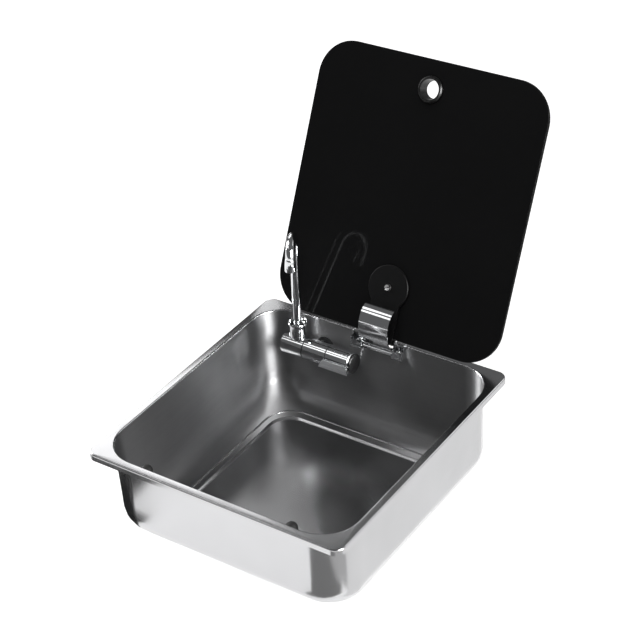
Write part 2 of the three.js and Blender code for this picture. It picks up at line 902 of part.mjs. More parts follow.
function ellipsePoint(angle, inset) {
  const y = linkCentreY + (linkReach - inset) * Math.cos(angle);
  const z = linkCentreZ + (linkHeight - inset) * Math.sin(angle);
  return new THREE.Vector2(y, z);
}

function curvedLink() {
  const steps = 22;
  const outer = [];
  const inner = [];
  for (let k = 0; k <= steps; k += 1) {
    const angle = linkFrom + ((linkTo - linkFrom) * k) / steps;
    outer.push(ellipsePoint(angle, 0));
    inner.push(ellipsePoint(angle, linkThick));
  }
  outer.push(new THREE.Vector2(linkPinY - linkThick / 2, -linkPinDepth));
  inner.push(new THREE.Vector2(linkPinY + linkThick / 2, -linkPinDepth));
  const strip = sideSlab(new THREE.Shape([...outer, ...inner.reverse()]), -linkHalfX, linkHalfX);
  const barrel = sideSlab(circleOutline(linkPinY, -linkPinDepth, linkEye), -linkHalfX, linkHalfX, 12);
  const bore = sideSlab(circleOutline(linkPinY, -linkPinDepth, linkPinRadius + pinPlay), -30, 30, 12);
  return piece("hinge_link", cut(join(strip, barrel), bore), chromePlate());
}

function bracketScrew(name, x) {
  const head = -gap * 2 - bracketPlate;
  const screw = turnedAlongY([
    [0, head - 2],
    [2.6, head - 2],
    [3.8, head - 0.8],
    [3.8, head],
    [bracketScrewRadius, head],
    [bracketScrewRadius, 7],
    [0, 7],
  ], 20);
  return piece(name, squareToBackWall(screw, x, bracketScrewDepth), plainSteel());
}

function bracketNut(name, x) {
  const nut = hexNut(7, bracketScrewRadius + 0.2, sheet + gap, sheet + gap + 3.2);
  return piece(name, squareToBackWall(nut.rotateX(-Math.PI / 2), x, bracketScrewDepth), plainSteel());
}

// ---- tap ----
function tapMiddle() {
  return (bodyLeft + bodyRight) / 2;
}

// How far the wall is from the tap's axis, square to the wall, and where that line meets it.
function wallFromTap() {
  return (backWallY(tapDepth) - tapY) * Math.cos(wallLean);
}

function shankDepth() {
  return tapDepth + wallFromTap() * Math.sin(wallLean);
}

function tapBody() {
  const spigotEnd = bodyLeft - foldSpigot;
  const knobEnd = bodyRight + knobSpigot;
  const barrel = turnedAlongX([
    [0, spigotEnd],
    [spigotRadius - 0.8, spigotEnd],
    [spigotRadius, spigotEnd + 0.8],
    [spigotRadius, bodyLeft],
    [tapRadius, bodyLeft],
    [tapRadius, bodyRight],
    [spigotRadius, bodyRight],
    [spigotRadius, knobEnd - 0.8],
    [spigotRadius - 0.8, knobEnd],
    [0, knobEnd],
  ], 36);
  const seat = wallFromTap() - gap - 1.2 - gap;
  const shankEnd = wallFromTap() + sheet + shankLength;
  const end = shankEnd + hoseTailLength;
  const shank = turnedAlongY([
    [0, 2],
    [bossRadius, 2],
    [bossRadius, seat],
    [shankRadius, seat],
    [shankRadius, shankEnd - 0.8],
    [shankRadius - 0.8, shankEnd],
    [hoseTailRadius, shankEnd],
    [hoseTailRadius, end - 1],
    [hoseTailRadius - 1, end],
    [hoseTailBore, end],
    [hoseTailBore, wallFromTap() - 8],
    [0, wallFromTap() - 8],
  ], 28);
  const square = shank.rotateX(-wallLean).translate(tapMiddle(), 0, 0);
  return piece("tap_body", join(barrel, square), chromePlate());
}

function onShank(geometry) {
  return geometry.rotateX(-Math.PI / 2 - wallLean).translate(tapMiddle(), 0, 0);
}

function tapSeal() {
  const face = wallFromTap() - gap;
  const seal = washer(shankRadius + gap, 14, face - 1.2, face);
  return piece("tap_seal", onShank(seal), blackRubber());
}

function tapNut() {
  const face = wallFromTap() + sheet + gap;
  const nut = hexNut(shankNutFlat, shankRadius + 0.2, face, face + shankNutHeight);
  return piece("tap_nut", onShank(nut), plainSteel());
}

function foldRing() {
  const ringShape = turnedAlongX([
    [spigotRadius + gap, baseRight + gap],
    [tapRadius - 1, baseRight + gap],
    [tapRadius - 1, bodyLeft - gap],
    [spigotRadius + gap, bodyLeft - gap],
    [spigotRadius + gap, baseRight + gap],
  ], 32);
  return piece("tap_fold_ring", ringShape, blackPlastic());
}

function knobRing() {
  const ringShape = turnedAlongX([
    [spigotRadius + gap, bodyRight + gap],
    [tapRadius - 1, bodyRight + gap],
    [tapRadius - 1, knobLeft - gap],
    [spigotRadius + gap, knobLeft - gap],
    [spigotRadius + gap, bodyRight + gap],
  ], 32);
  return piece("tap_knob_ring", ringShape, blackPlastic());
}

// The lip reaches over the fixed body, and slants away from the knob's end.
function knobLip() {
  const inside = tapRadius + gap;
  const outside = inside + lipThick;
  const from = THREE.MathUtils.degToRad(lipFrom);
  const to = THREE.MathUtils.degToRad(lipTo);
  const outline = new THREE.Shape();
  outline.absarc(0, 0, outside, from, to, false);
  outline.absarc(0, 0, inside, to, from, true);
  outline.closePath();
  const shell = sideSlab(outline, lipLeft, knobRight, 10);
  const root = sideSlab(outline, knobLeft + 0.4, knobRight, 10).scale(1, 0.96, 0.96);
  const slant = new THREE.Shape();
  slant.moveTo(lipLeft - 1, 2);
  slant.lineTo(knobLeft, 2);
  slant.lineTo(knobLeft, -2);
  slant.lineTo(lipLeft, -tapRadius * 0.62);
  slant.lineTo(lipLeft - 1, -tapRadius * 0.62);
  slant.closePath();
  const trimmed = cut(shell, frontSlab(slant, -30, 0));
  return join(trimmed, root);
}

function knob() {
  const bore = spigotRadius + spigotPlay;
  const blind = bodyRight + knobSpigot + 0.6;
  const sleeve = turnedAlongX([
    [bore, knobLeft],
    [tapRadius, knobLeft],
    [tapRadius, knobRight - tapEnds],
    [tapRadius - tapEnds, knobRight],
    [0, knobRight],
    [0, blind],
    [bore, blind],
    [bore, knobLeft],
  ], 36);
  const grooves = grooveAngles.map((degrees) => {
    const angle = THREE.MathUtils.degToRad(degrees);
    const half = grooveWidth / 2;
    const groove = boxFrom(knobLeft - 1, tapRadius - grooveDepth, -half, knobRight + 1, tapRadius + 2, half);
    return groove.rotateX(angle);
  });
  return piece("tap_knob", join(cut(sleeve, ...grooves), knobLip()), chromePlate());
}

function knobCap() {
  const start = knobRight + gap;
  const cap = turnedAlongX([
    [0, start],
    [tapRadius - 2, start],
    [tapRadius - 2, start + knobCapThick - 1],
    [tapRadius - 3, start + knobCapThick],
    [0, start + knobCapThick],
  ], 32);
  return piece("tap_knob_cap", cap, blackPlastic());
}

function spoutBase() {
  const bore = spigotRadius + spigotPlay;
  const blind = bodyLeft - foldSpigot - 0.6;
  const barrel = turnedAlongX([
    [0, baseLeft],
    [tapRadius - tapEnds, baseLeft],
    [tapRadius, baseLeft + tapEnds],
    [tapRadius, baseRight],
    [bore, baseRight],
    [bore, blind],
    [0, blind],
    [0, baseLeft],
  ], 36);
  const spigot = rod(6, tapRadius - 3, tapDepth - pipeFoot - 1.2, 20).translate(spoutX, 0, 0);
  return piece("spout_base", join(barrel, spigot), chromePlate());
}

function spoutCollar() {
  const top = tapDepth - collarTop;
  const shelf = tapDepth - pipeFoot + pipeFlange + gap;
  const seat = tapDepth - pipeFoot - gap;
  const bore = pipeRadius + gap;
  const collar = turned([
    [6.3, 8],
    [collarFoot, 8],
    [collarFoot, tapRadius - 1],
    [collarWaist - 0.6, tapRadius + 0.8],
    [collarWaist, tapRadius + 3],
    [collarWaist + 0.5, top - 11],
    [collarRim - 0.6, top - 3.6],
    [collarRim, top - 1.2],
    [collarRim - 0.5, top],
    [collarRim - 1.3, top],
    [collarRim - 2, top - 2],
    [bore + 2, top - collarCup],
    [bore, top - collarCup],
    [bore, shelf + 1],
    [pipeFootRadius + gap, shelf],
    [pipeFootRadius + gap, seat],
    [6.3, seat],
    [6.3, 8],
  ], 32).translate(spoutX, 0, 0);
  const saddle = rod(tapRadius + gap, -30, 30, 36).rotateY(Math.PI / 2).translate(spoutX, 0, 0);
  return piece("spout_collar", cut(collar, saddle), chromePlate());
}

// A loop round the pipe, as far along its arch as the angle says, or straight below or beyond it.
function pipeLoop(radius, angle, straight) {
  const loop = [];
  for (let k = 0; k < pipeSides; k += 1) {
    const turn = (2 * Math.PI * k) / pipeSides;
    const reach = archRadius - radius * Math.sin(turn);
    const y = reach * Math.cos(angle) - archRadius;
    const z = archHeight + tapDepth + reach * Math.sin(angle) + straight;
    loop.push(new THREE.Vector3(radius * Math.cos(turn), y, z));
  }
  return loop;
}

function pipeLoops(radius, footRadius) {
  const foot = -archHeight - pipeFoot;
  const loops = [
    pipeLoop(footRadius, 0, foot),
    pipeLoop(footRadius, 0, foot + pipeFlange),
    pipeLoop(radius, 0, foot + pipeFlange + (footRadius - radius) / 2),
  ];
  for (let k = 0; k <= archSteps; k += 1) {
    loops.push(pipeLoop(radius, (Math.PI * k) / archSteps, 0));
  }
  loops.push(pipeLoop(radius, Math.PI, -pipeDrop));
  return loops;
}

function spoutPipe() {
  const inner = pipeLoops(pipeRadius - pipeWall, pipeRadius - pipeWall);
  const outer = pipeLoops(pipeRadius, pipeFootRadius);
  return piece("spout_pipe", loftedSkin([...outer, ...inner.reverse()]), chromePlate());
}

function spoutNozzle() {
  const high = tapDepth + nozzleTop;
  const low = tapDepth + nozzleEnd;
  const ledge = archHeight + tapDepth - pipeDrop - gap;
  const sleeve = turned([
    [pipeRadius + gap, high],
    [pipeRadius + gap, ledge],
    [pipeRadius - 1.4, ledge],
    [pipeRadius - 1.4, low + 2],
    [pipeRadius, low],
    [nozzleLip - 0.8, low],
    [nozzleLip, low + 0.8],
    [nozzleLip, low + nozzleLipHeight],
    [nozzleLip - 0.5, low + nozzleLipHeight + 0.5],
    [nozzleRadius, high - 0.5],
    [pipeRadius + gap, high],
  ], 28);
  return piece("spout_nozzle", sleeve.translate(0, -2 * archRadius, 0), chromePlate());
}

function spout() {
  const group = groupAt(spoutX, 0, 0, spoutPipe(), spoutNozzle());
  group.rotation.z = spoutTurn;
  return group;
}

function foldingPart() {
  const group = groupAt(0, 0, 0, spoutBase(), spoutCollar(), spout());
  group.rotation.x = -spoutLean;
  return group;
}

function tap() {
  const fixed = [tapBody(), tapSeal(), tapNut(), foldRing(), knobRing()];
  return groupAt(0, tapY, -tapDepth, ...fixed, knob(), knobCap(), foldingPart());
}

// ---- assembly ----
const sink = groupAt(
  0,
  0,
  rimDrop,
  sinkBowl(),
  rimSeal(),
  lidStop("lid_stop_left", -stopX()),
  lidStop("lid_stop_right", stopX()),
  drain(),
  lid(),
  hingeBracket(),
  crossPin("hinge_pin", pinRadius, bracketHalfX, pinY, pinDepth),
  crossPin("link_pin", linkPinRadius, lugInside + lugThick, linkPinY, linkPinDepth),
  curvedLink(),
  bracketScrew("bracket_screw_left", -bracketScrewX),
  bracketScrew("bracket_screw_right", bracketScrewX),
  bracketNut("bracket_nut_left", -bracketScrewX),
  bracketNut("bracket_nut_right", bracketScrewX),
  tap()
);
const group = new THREE.Group();
group.add(sink);

export default group;
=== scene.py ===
import json
import math

import bmesh
import bpy
from mathutils import Matrix, Vector


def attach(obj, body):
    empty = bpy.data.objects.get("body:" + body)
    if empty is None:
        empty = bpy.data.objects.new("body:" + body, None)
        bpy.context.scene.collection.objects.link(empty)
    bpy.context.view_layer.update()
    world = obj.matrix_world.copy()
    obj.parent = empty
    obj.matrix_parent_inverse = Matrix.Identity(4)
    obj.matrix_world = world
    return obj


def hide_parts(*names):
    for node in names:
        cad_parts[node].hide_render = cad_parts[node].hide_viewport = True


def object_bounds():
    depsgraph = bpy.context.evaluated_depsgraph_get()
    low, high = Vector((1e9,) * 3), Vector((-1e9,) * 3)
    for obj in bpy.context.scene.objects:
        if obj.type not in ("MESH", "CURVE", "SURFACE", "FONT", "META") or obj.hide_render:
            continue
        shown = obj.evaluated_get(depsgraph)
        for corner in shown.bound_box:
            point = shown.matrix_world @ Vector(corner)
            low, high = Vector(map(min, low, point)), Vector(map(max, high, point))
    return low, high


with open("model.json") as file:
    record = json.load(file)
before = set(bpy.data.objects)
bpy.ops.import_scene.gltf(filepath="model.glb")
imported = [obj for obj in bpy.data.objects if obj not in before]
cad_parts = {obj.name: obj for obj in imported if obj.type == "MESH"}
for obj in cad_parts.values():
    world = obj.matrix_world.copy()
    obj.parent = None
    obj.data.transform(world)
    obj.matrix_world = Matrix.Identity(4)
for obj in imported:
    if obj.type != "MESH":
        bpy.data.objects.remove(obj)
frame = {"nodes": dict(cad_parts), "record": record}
cad_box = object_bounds()

# Lengths are in metres and places in the sink's own frame, where the name says nothing else.
MM = 0.001

# ---- the bowl ----
RIM_TOP_Z = 0.009  # the worktop, on which the turned-down rim rests, is at 0
INSIDE_TOP_Z = 0.0072  # faces above this height belong to the rim
PANEL_X = 0.1305  # half size of the floor's sunk panel with its sloping border
PANEL_Y = 0.1325
PANEL_CORNER = 0.0325
PANEL_SLOPE = 0.0044
FLOOR_BORDER_Z = -0.1235  # the floor between the wall's foot and the panel
BEAD_X = 0.1395  # half size of the pressed bead on that border
BEAD_Y = 0.144
BEAD_CORNER = 0.039
BEAD_CORNER_STEPS = 14
BEAD_RADIUS = 0.0021
BEAD_ROUND_STEPS = 3
BEAD_FLATNESS = 0.36  # height of the bead's section as a share of its width

# ---- the hinge link and the lid's screw ----
LINK_Y = 0.192  # middle of the half ellipse that the hinge link follows
LINK_Z = 0.026
LINK_REACH = 0.0225
LINK_HEIGHT = 0.0313
SLOT_SHALLOW = 0.0004  # depths under the screw's head between which its slot is painted dark, as painted shade
SLOT_DEEP = 0.0014
SLOT_REACH = 0.00465

# ---- the tap ----
TAP_AXIS = (-0.088, 0.1678, -0.031)  # middle of the barrel, which lies along X
TAP_RADIUS = 0.0155
LIP_LEFT = -0.0800
LIP_RIGHT = -0.0335
LIP_SLANT = 0.0095
LIP_FROM = 168  # degrees round the barrel, from the back over the top
LIP_TO = 220
LIP_PROUD = 0.0024
LIP_FLARE = 0.0012
LIP_WALL = 0.0011
LIP_EDGE = 0.0003
LIP_STEPS = 12
SPOUT_X = -0.121
SPOUT_LEAN = math.radians(2.6)
SPOUT_TURN = math.radians(27)
PIPE_RADIUS = 0.0062
PIPE_FOOT = 0.030  # heights over the tap's axis
ARCH_START = 0.1565
PIPE_END = 0.1435
ARCH_WIDTH = 0.042
ARCH_STEPS = 28
PIPE_SIDES = 32
COLLAR_SIDES = 48
NOZZLE_SIDES = 40

# Radius and height over the tap's axis, in mm, once round the section.
COLLAR_PROFILE = [
    (6.8, 12.5),
    (10.4, 12.5),
    (11.3, 14.5),
    (11.7, 17.5),
    (11.8, 24),
    (12.0, 30),
    (12.5, 33.5),
    (13.1, 35.2),
    (13.3, 36.6),
    (13.1, 37.9),
    (12.6, 38.4),
    (12.0, 37.9),
    (11.6, 36.5),
    (10.6, 34),
    (8.6, 32.4),
    (6.8, 32.2),
    (6.8, 12.5),
]
NOZZLE_PROFILE = [
    (5.2, 142.2),
    (6.0, 141.5),
    (6.9, 141.5),
    (7.5, 141.9),
    (7.6, 143),
    (7.5, 148),
    (7.2, 153),
    (6.8, 157),
    (6.3, 159.5),
    (6.1, 159.8),
    (5.2, 159),
    (5.2, 142.2),
]

# ---- how the nodes are dressed ----
REMODELLED = ("spout_collar", "spout_nozzle", "spout_pipe")
ROUND_BARRELS = ("tap_body", "tap_knob", "spout_base")
EDGES = {"hinge_bracket": 0.00025, "hinge_link": 0.00025, "lid_arm": 0.0005, "lid_glass": 0.0004}
EDGE_STEPS = 2
SMOOTH_ANGLE = math.radians(32)  # faces that meet at less are shaded as one
EDGE_ANGLE = math.radians(40)  # corners sharper than this get a fine edge
ROUND_ANGLE = math.radians(40)
NORMAL_WEIGHT = 80  # how far large faces outweigh small ones in the shading
LEVEL_FACE = 0.5  # a normal's rise above which a face belongs to the bowl's floor or foot
BARREL_END = 0.03  # a normal's share along the barrel above which a face is not round it
BARREL_LIE = 0.985  # how closely a face follows the curve, with 1 for exactly
LINK_SIDE = 0.1
LINK_LIE = 0.97
LIP_SMOOTH_ANGLE = math.radians(35)
LIP_EDGE_ANGLE = math.radians(50)
NODE_MERGE = 0.000002
SEAM_MERGE = 0.000005

# ---- the finishes ----
GRAIN_ROUGHNESS = 0.6
GRAIN_MIDDLE = (0.3, 0.7)  # nearly all of a grain's values lie between these

# ---- the picture ----
LENS_MM = 104.13
SENSOR_MM = 36
CAMERA_PLACE = (1.11401, -1.50133, 1.39283 + RIM_TOP_Z)
CAMERA_RIGHT = (0.8320, 0.5522, -0.0533)
CAMERA_UP = (-0.2718, 0.4896, 0.8285)
NEAREST = 0.1
FARTHEST = 30
FLOOR_SIZE = 12
FLOOR_Z = cad_box[0][2] - 0.0005
FLOOR_WHITE = (0.86, 0.86, 0.86, 1)
FLOOR_LIFT = 0.8  # what the floor glows for the camera, over the light it takes
MIRROR_LIFT = 0.75  # and for the steel that mirrors it
ROOM_COLOUR = (0.98, 0.99, 1, 1)
ROOM_LEVEL = 0.12
CARD_GAP = 0.002  # from the floor to the cards that lie on it
BLACK_BOARD = 0.02


# ---- camera, light and floor ----
def add_camera():
    camera = bpy.data.objects.new("camera", bpy.data.cameras.new("camera"))
    bpy.context.scene.collection.objects.link(camera)
    camera.data.lens = LENS_MM
    camera.data.sensor_width = SENSOR_MM
    camera.data.clip_start = NEAREST
    camera.data.clip_end = FARTHEST
    right = Vector(CAMERA_RIGHT)
    up = Vector(CAMERA_UP)
    turn = Matrix((right, up, right.cross(up))).transposed().to_4x4()
    camera.matrix_world = Matrix.Translation(CAMERA_PLACE) @ turn
    bpy.context.scene.camera = camera


def facing(place, aim):
    """The turn that points a lamp or board at the aim."""
    return (Vector(aim) - Vector(place)).to_track_quat("-Z", "Y").to_euler()


def add_softbox(name, place, aim, width, height, level, mirrored=True, lighting=True):
    """A rectangular light; the level is how bright its face looks, with white at 1."""
    lamp = bpy.data.lights.new(name, "AREA")
    lamp.shape = "RECTANGLE"
    lamp.size = width
    lamp.size_y = height
    lamp.energy = level * math.pi * width * height
    holder = bpy.data.objects.new(name, lamp)
    bpy.context.scene.collection.objects.link(holder)
    holder.location = place
    holder.rotation_euler = facing(place, aim)
    holder.visible_glossy = mirrored
    holder.visible_diffuse = lighting


def add_world():
    """White to the camera, and a dim room to everything else."""
    world = bpy.data.worlds.new("studio")
    bpy.context.scene.world = world
    world.use_nodes = True
    nodes = world.node_tree.nodes
    links = world.node_tree.links
    nodes.clear()
    paths = nodes.new("ShaderNodeLightPath")
    room = nodes.new("ShaderNodeBackground")
    room.inputs["Color"].default_value = ROOM_COLOUR
    room.inputs["Strength"].default_value = ROOM_LEVEL
    white = nodes.new("ShaderNodeBackground")
    white.inputs["Color"].default_value = (1, 1, 1, 1)
    mix = nodes.new("ShaderNodeMixShader")
    out = nodes.new("ShaderNodeOutputWorld")
    links.new(paths.outputs["Is Camera Ray"], mix.inputs["Fac"])
    links.new(room.outputs["Background"], mix.inputs[1])
    links.new(white.outputs["Background"], mix.inputs[2])
    links.new(mix.outputs["Shader"], out.inputs["Surface"])


def floor_paint():
    """Pale floor that looks white to the camera and in the steel, and still takes the shadow."""
    paint = bpy.data.materials.new("pale_floor")
    paint.use_nodes = True
    nodes = paint.node_tree.nodes
    links = paint.node_tree.links
    nodes.clear()
    matt = nodes.new("ShaderNodeBsdfDiffuse")
    matt.inputs["Color"].default_value = FLOOR_WHITE
    glow = nodes.new("ShaderNodeEmission")
    paths = nodes.new("ShaderNodeLightPath")
    mirrored = nodes.new("ShaderNodeMath")
    mirrored.operation = "MULTIPLY"
    mirrored.inputs[1].default_value = MIRROR_LIFT
    links.new(paths.outputs["Is Glossy Ray"], mirrored.inputs[0])
    seen = nodes.new("ShaderNodeMath")
    seen.operation = "MULTIPLY_ADD"
    seen.inputs[1].default_value = FLOOR_LIFT
    links.new(paths.outputs["Is Camera Ray"], seen.inputs[0])
    links.new(mirrored.outputs["Value"], seen.inputs[2])
    links.new(seen.outputs["Value"], glow.inputs["Strength"])
    both = nodes.new("ShaderNodeAddShader")
    links.new(matt.outputs["BSDF"], both.inputs[0])
    links.new(glow.outputs["Emission"], both.inputs[1])
    out = nodes.new("ShaderNodeOutputMaterial")
    links.new(both.outputs["Shader"], out.inputs["Surface"])
    return paint


def add_floor():
    bpy.ops.object.select_all(action="DESELECT")
    bpy.ops.mesh.primitive_plane_add(size=FLOOR_SIZE, location=(0, 0, FLOOR_Z))
    floor = bpy.context.object
    floor.name = "floor"
    floor.data.materials.append(floor_paint())


def add_board(name, place, width, height, level):
    """A flat board of one brightness that is seen only as a mirror image in the steel."""
    bpy.ops.object.select_all(action="DESELECT")
    bpy.ops.mesh.primitive_plane_add(size=1, location=(0, 0, 0))
    board = bpy.context.object
    board.name = name
    board.scale = (width, height, 1)
    board.location = place
    paint = bpy.data.materials.new(name)
    paint.use_nodes = True
    nodes = paint.node_tree.nodes
    nodes.clear()
    glow = nodes.new("ShaderNodeEmission")
    glow.inputs["Strength"].default_value = level
    out = nodes.new("ShaderNodeOutputMaterial")
    paint.node_tree.links.new(glow.outputs["Emission"], out.inputs["Surface"])
    board.data.materials.append(paint)
    board.visible_camera = False
    board.visible_diffuse = False
    board.visible_shadow = False
    return board


def add_card(name, low, high, level):
    """A card on the floor between two corners."""
    middle = ((low[0] + high[0]) / 2, (low[1] + high[1]) / 2, FLOOR_Z + CARD_GAP)
    add_board(name, middle, high[0] - low[0], high[1] - low[1], level)


def add_flag(name, place, aim, width, height):
    """A black board in the air, turned to the aim."""
    board = add_board(name, place, width, height, BLACK_BOARD)
    board.rotation_euler = facing(place, aim)


def add_lights():
    # Name, place, aim, width, height, level.
    add_softbox("overhead", (0.1, 0.0, 2.6), (0, 0, 0), 2.4, 2.4, 1.3, mirrored=False)
    add_softbox("back_left_card", (-1.89, 1.37, 1.15), (-0.59, -0.43, 0), 1.3, 1.4, 1.55)
    add_softbox("back_right_card", (1.11, 1.55, 1.29), (0, 0, 0), 1.4, 1.0, 1.2)
    # The strips are seen only as streaks in the steel.
    strips = [
        ("front_left_strip", (-1.11, -1.07, 1.71), 0.6, 0.35, 1.4),
        ("left_high_strip", (-1.15, -0.35, 2.08), 0.6, 0.3, 1.4),
        ("right_softbox", (2.2, -0.1, 0.75), 1.0, 1.3, 4.5),
        ("camera_strip", (2.15, -0.66, 0.95), 0.95, 1.6, 19.0),
        ("left_strip", (-2.1, -0.1, 0.8), 0.7, 1.3, 16.0),
    ]
    for name, place, width, height, level in strips:
        add_softbox(name, place, (0, 0, 0), width, height, level, lighting=False)
    # Two corners and a level: dark and pale areas for the walls and the rim to mirror.
    add_card("left_flag", (-0.40, -0.25), (-0.18, 0.1), BLACK_BOARD)
    add_card("front_left_flag", (-0.55, -0.42), (-0.225, -0.251), BLACK_BOARD)
    add_card("corner_flag", (0.085, -0.5), (0.25, -0.203), 0.22)
    add_card("corner_card", (0.251, -0.5), (0.6, -0.17), 0.5)
    add_card("right_card", (0.19, -0.169), (1.4, 1.2), 0.9)
    # These leave a gap between them, for the narrow streak on the bowl's floor.
    add_flag("floor_flag_left", (-0.408, 0.283, 0.111), (0.076, -0.392, -0.446), 0.20, 0.22)
    add_flag("floor_flag_right", (-0.233, 0.408, 0.111), (0.251, -0.267, -0.446), 0.16, 0.22)


# ---- finishes ----
def new_paint(name, colour, metal, rough):
    paint = bpy.data.materials.new(name)
    paint.use_nodes = True
    body = paint.node_tree.nodes["Principled BSDF"]
    body.inputs["Base Color"].default_value = (*colour, 1)
    body.inputs["Metallic"].default_value = metal
    body.inputs["Roughness"].default_value = rough
    return paint, paint.node_tree.nodes, paint.node_tree.links, body


def add_noise(nodes, links, scale, stretch=(1, 1, 1), detail=3):
    """A grain in the piece's own coordinates, stretched by the mapping."""
    place = nodes.new("ShaderNodeTexCoord")
    mapping = nodes.new("ShaderNodeMapping")
    mapping.inputs["Scale"].default_value = stretch
    grain = nodes.new("ShaderNodeTexNoise")
    grain.inputs["Scale"].default_value = scale
    grain.inputs["Detail"].default_value = detail
    grain.inputs["Roughness"].default_value = GRAIN_ROUGHNESS
    links.new(place.outputs["Object"], mapping.inputs["Vector"])
    links.new(mapping.outputs["Vector"], grain.inputs["Vector"])
    return grain.outputs["Fac"]


def vary_roughness(nodes, links, grain, low, high, body):
    """Takes the middle part of a grain to the range of roughness asked for."""
    span = nodes.new("ShaderNodeMapRange")
    span.inputs["From Min"].default_value = GRAIN_MIDDLE[0]
    span.inputs["From Max"].default_value = GRAIN_MIDDLE[1]
    span.inputs["To Min"].default_value = low
    span.inputs["To Max"].default_value = high
    span.interpolation_type = "SMOOTHSTEP"
    links.new(grain, span.inputs["Value"])
    links.new(span.outputs["Result"], body.inputs["Roughness"])


def vary_colour(nodes, links, grain, dark, light, body):
    """Lets the colour drift from dark to light with a grain."""
    ramp = nodes.new("ShaderNodeValToRGB")
    ramp.color_ramp.elements[0].color = (*dark, 1)
    ramp.color_ramp.elements[1].color = (*light, 1)
    links.new(grain, ramp.inputs["Fac"])
    links.new(ramp.outputs["Color"], body.inputs["Base Color"])


def press_bump(nodes, links, grain, strength, distance, body):
    bump = nodes.new("ShaderNodeBump")
    bump.inputs["Strength"].default_value = strength
    bump.inputs["Distance"].default_value = distance
    links.new(grain, bump.inputs["Height"])
    links.new(bump.outputs["Normal"], body.inputs["Normal"])


def pressed_steel():
    """The bowl's outside and rim: bright steel with faint drawing lines."""
    paint, nodes, links, body = new_paint("pressed_steel", (0.7, 0.7, 0.71), 1, 0.2)
    cloud = add_noise(nodes, links, 9, detail=4)
    lines = add_noise(nodes, links, 260, stretch=(0.05, 0.05, 1))
    vary_colour(nodes, links, cloud, (0.62, 0.62, 0.63), (0.74, 0.74, 0.75), body)
    vary_roughness(nodes, links, cloud, 0.16, 0.26, body)
    press_bump(nodes, links, lines, 0.04, 0.0003, body)
    return paint


def brushed_steel_painted_shade():
    """The bowl's walls inside, brushed round, so that a light draws out into an upright streak. Its
    colour is painted darker than the rim's steel, as painted shade inside the bowl.
    """
    paint, nodes, links, body = new_paint("brushed_steel_painted_shade", (0.5, 0.5, 0.51), 1, 0.36)
    cloud = add_noise(nodes, links, 14, detail=4)
    lines = add_noise(nodes, links, 420, stretch=(0.03, 0.03, 1))
    # These darker tones are painted shade for the bowl's inside.
    vary_colour(nodes, links, cloud, (0.3, 0.3, 0.305), (0.4, 0.4, 0.405), body)
    vary_roughness(nodes, links, lines, 0.46, 0.53, body)
    body.inputs["Anisotropic"].default_value = 0.95
    body.inputs["Anisotropic Rotation"].default_value = 0.25
    body.inputs["Coat Weight"].default_value = 0.3
    body.inputs["Coat Roughness"].default_value = 0.2
    body.inputs["Coat IOR"].default_value = 1.7
    around = nodes.new("ShaderNodeTangent")
    around.direction_type = "RADIAL"
    around.axis = "Z"
    links.new(around.outputs["Tangent"], body.inputs["Tangent"])
    press_bump(nodes, links, lines, 0.03, 0.0002, body)
    return paint


def brushed_floor_painted_shade():
    """The sunk panel of the bowl's floor, with its colour painted darker than the rim's steel as
    painted shade.
    """
    paint, nodes, links, body = new_paint("brushed_floor_painted_shade", (0.4, 0.4, 0.41), 0.86, 0.27)
    cloud = add_noise(nodes, links, 11, detail=1)
    vary_colour(nodes, links, cloud, (0.27, 0.27, 0.275), (0.36, 0.36, 0.365), body)
    vary_roughness(nodes, links, cloud, 0.19, 0.23, body)
    return paint


def turned_steel():
    """Screws, nuts and pins."""
    paint, nodes, links, body = new_paint("turned_steel", (0.55, 0.55, 0.56), 1, 0.3)
    grain = add_noise(nodes, links, 900)
    vary_colour(nodes, links, grain, (0.45, 0.45, 0.46), (0.62, 0.62, 0.63), body)
    vary_roughness(nodes, links, grain, 0.24, 0.36, body)
    return paint


def pale_steel():
    """The head of the lid's screw."""
    paint, nodes, links, body = new_paint("pale_steel", (0.8, 0.8, 0.8), 0.7, 0.45)
    grain = add_noise(nodes, links, 1500)
    vary_colour(nodes, links, grain, (0.62, 0.62, 0.62), (0.82, 0.82, 0.82), body)
    vary_roughness(nodes, links, grain, 0.38, 0.52, body)
    return paint


def bright_chrome():
    paint, nodes, links, body = new_paint("bright_chrome", (0.8, 0.81, 0.82), 1, 0.06)
    film = add_noise(nodes, links, 35, detail=4)
    vary_colour(nodes, links, film, (0.76, 0.77, 0.78), (0.84, 0.85, 0.86), body)
    vary_roughness(nodes, links, film, 0.04, 0.1, body)
    return paint


def satin_chrome_painted_sheen():
    """The knob's lip, with a pale, nearly unmetallic colour as a painted sheen."""
    paint, nodes, links, body = new_paint("satin_chrome_painted_sheen", (0.9, 0.91, 0.92), 0.15, 0.3)
    lines = add_noise(nodes, links, 900, stretch=(0.02, 1, 1), detail=2)
    vary_colour(nodes, links, lines, (0.82, 0.83, 0.84), (0.95, 0.96, 0.97), body)
    vary_roughness(nodes, links, lines, 0.26, 0.38, body)
    return paint


def polished_black():
    """The cap on the knob's end."""
    paint, nodes, links, body = new_paint("polished_black", (0.02, 0.02, 0.021), 0, 0.1)
    body.inputs["Coat Weight"].default_value = 1.0
    body.inputs["Coat Roughness"].default_value = 0.05
    body.inputs["Coat IOR"].default_value = 1.9
    film = add_noise(nodes, links, 90)
    vary_colour(nodes, links, film, (0.014, 0.014, 0.015), (0.03, 0.03, 0.032), body)
    vary_roughness(nodes, links, film, 0.08, 0.16, body)
    return paint


def black_lid_glass():
    paint, nodes, links, body = new_paint("black_lid_glass", (0.004, 0.004, 0.0045), 0, 0.03)
    body.inputs["Specular IOR Level"].default_value = 0.03
    film = add_noise(nodes, links, 6, detail=5)
    vary_colour(nodes, links, film, (0.016, 0.016, 0.0165), (0.021, 0.021, 0.0215), body)
    vary_roughness(nodes, links, film, 0.05, 0.1, body)
    return paint


